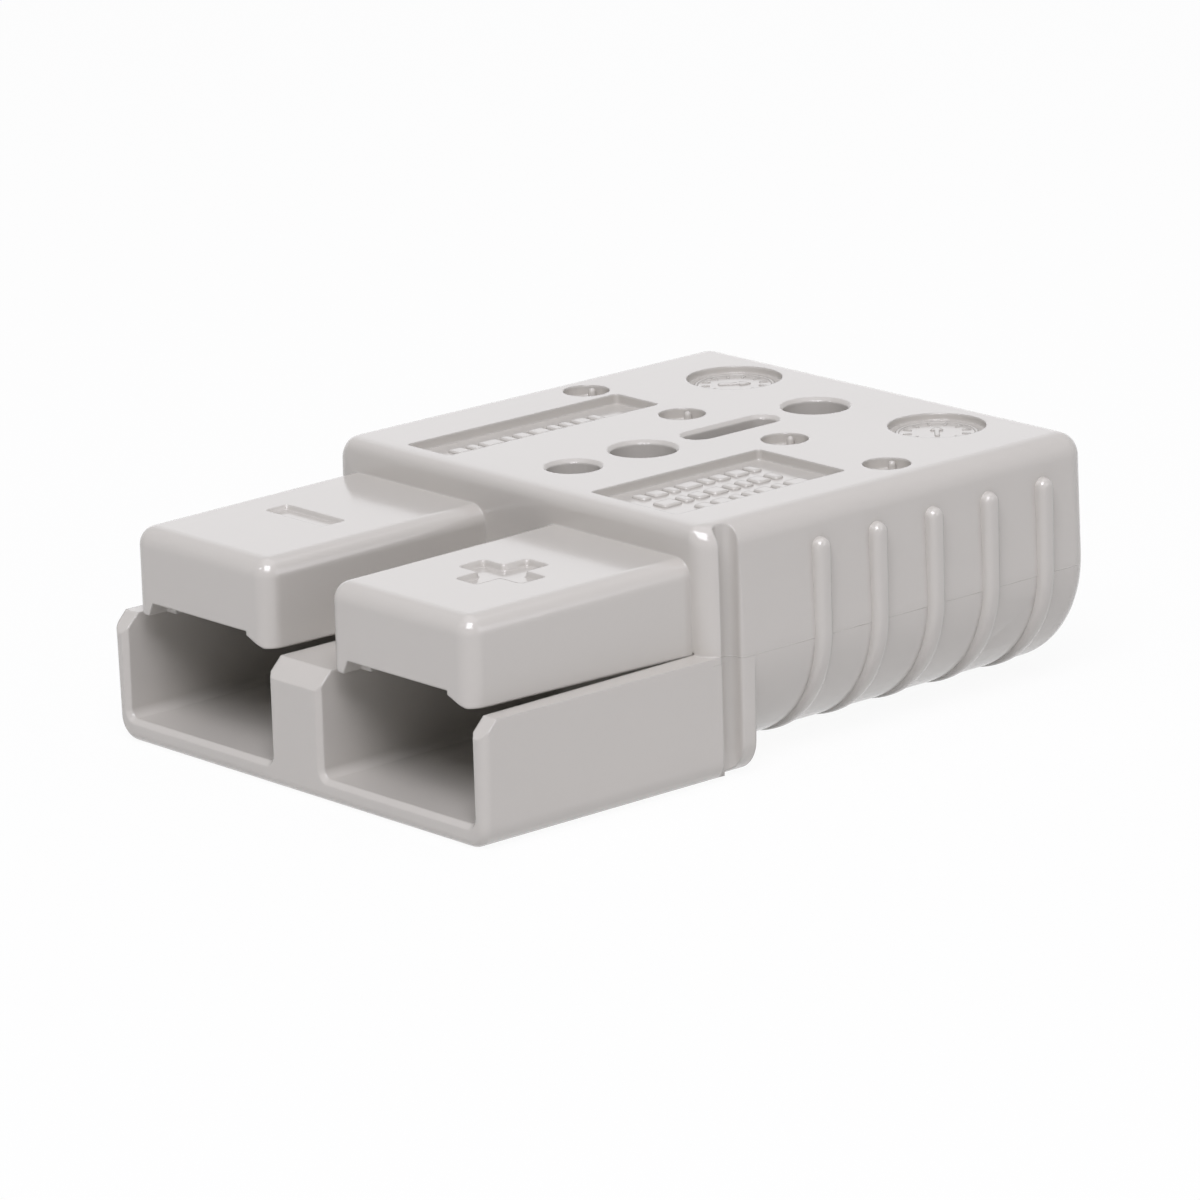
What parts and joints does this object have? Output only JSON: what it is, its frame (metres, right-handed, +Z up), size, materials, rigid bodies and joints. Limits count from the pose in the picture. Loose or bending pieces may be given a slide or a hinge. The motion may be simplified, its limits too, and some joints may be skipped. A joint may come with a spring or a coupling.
{
  "type": "genderless power connector",
  "caption": "Flat moulded battery connector whose stepped mating end joins a turned-over copy of itself, with ribbed sides, rear cable bores and a row of screw holes.",
  "frame": {"origin": "centre of the overall box, on the base", "axes": "+Y from the mating end to the cable end, +Z up from the base to the face with the screw holes, +X towards the positive pole"},
  "size_m": [0.0576, 0.08, 0.0254],
  "materials": {
    "housing_plastic": "semi-gloss warm light grey moulded polycarbonate",
    "contact_metal": "satin silver plating over copper",
    "spring_steel": "rolled stainless spring strip"
  },
  "bodies": {
    "root": {"housing": "housing_plastic", "contact_negative": "contact_metal", "contact_positive": "contact_metal", "spring_negative": "spring_steel", "spring_positive": "spring_steel"}
  },
  "joints": []
}
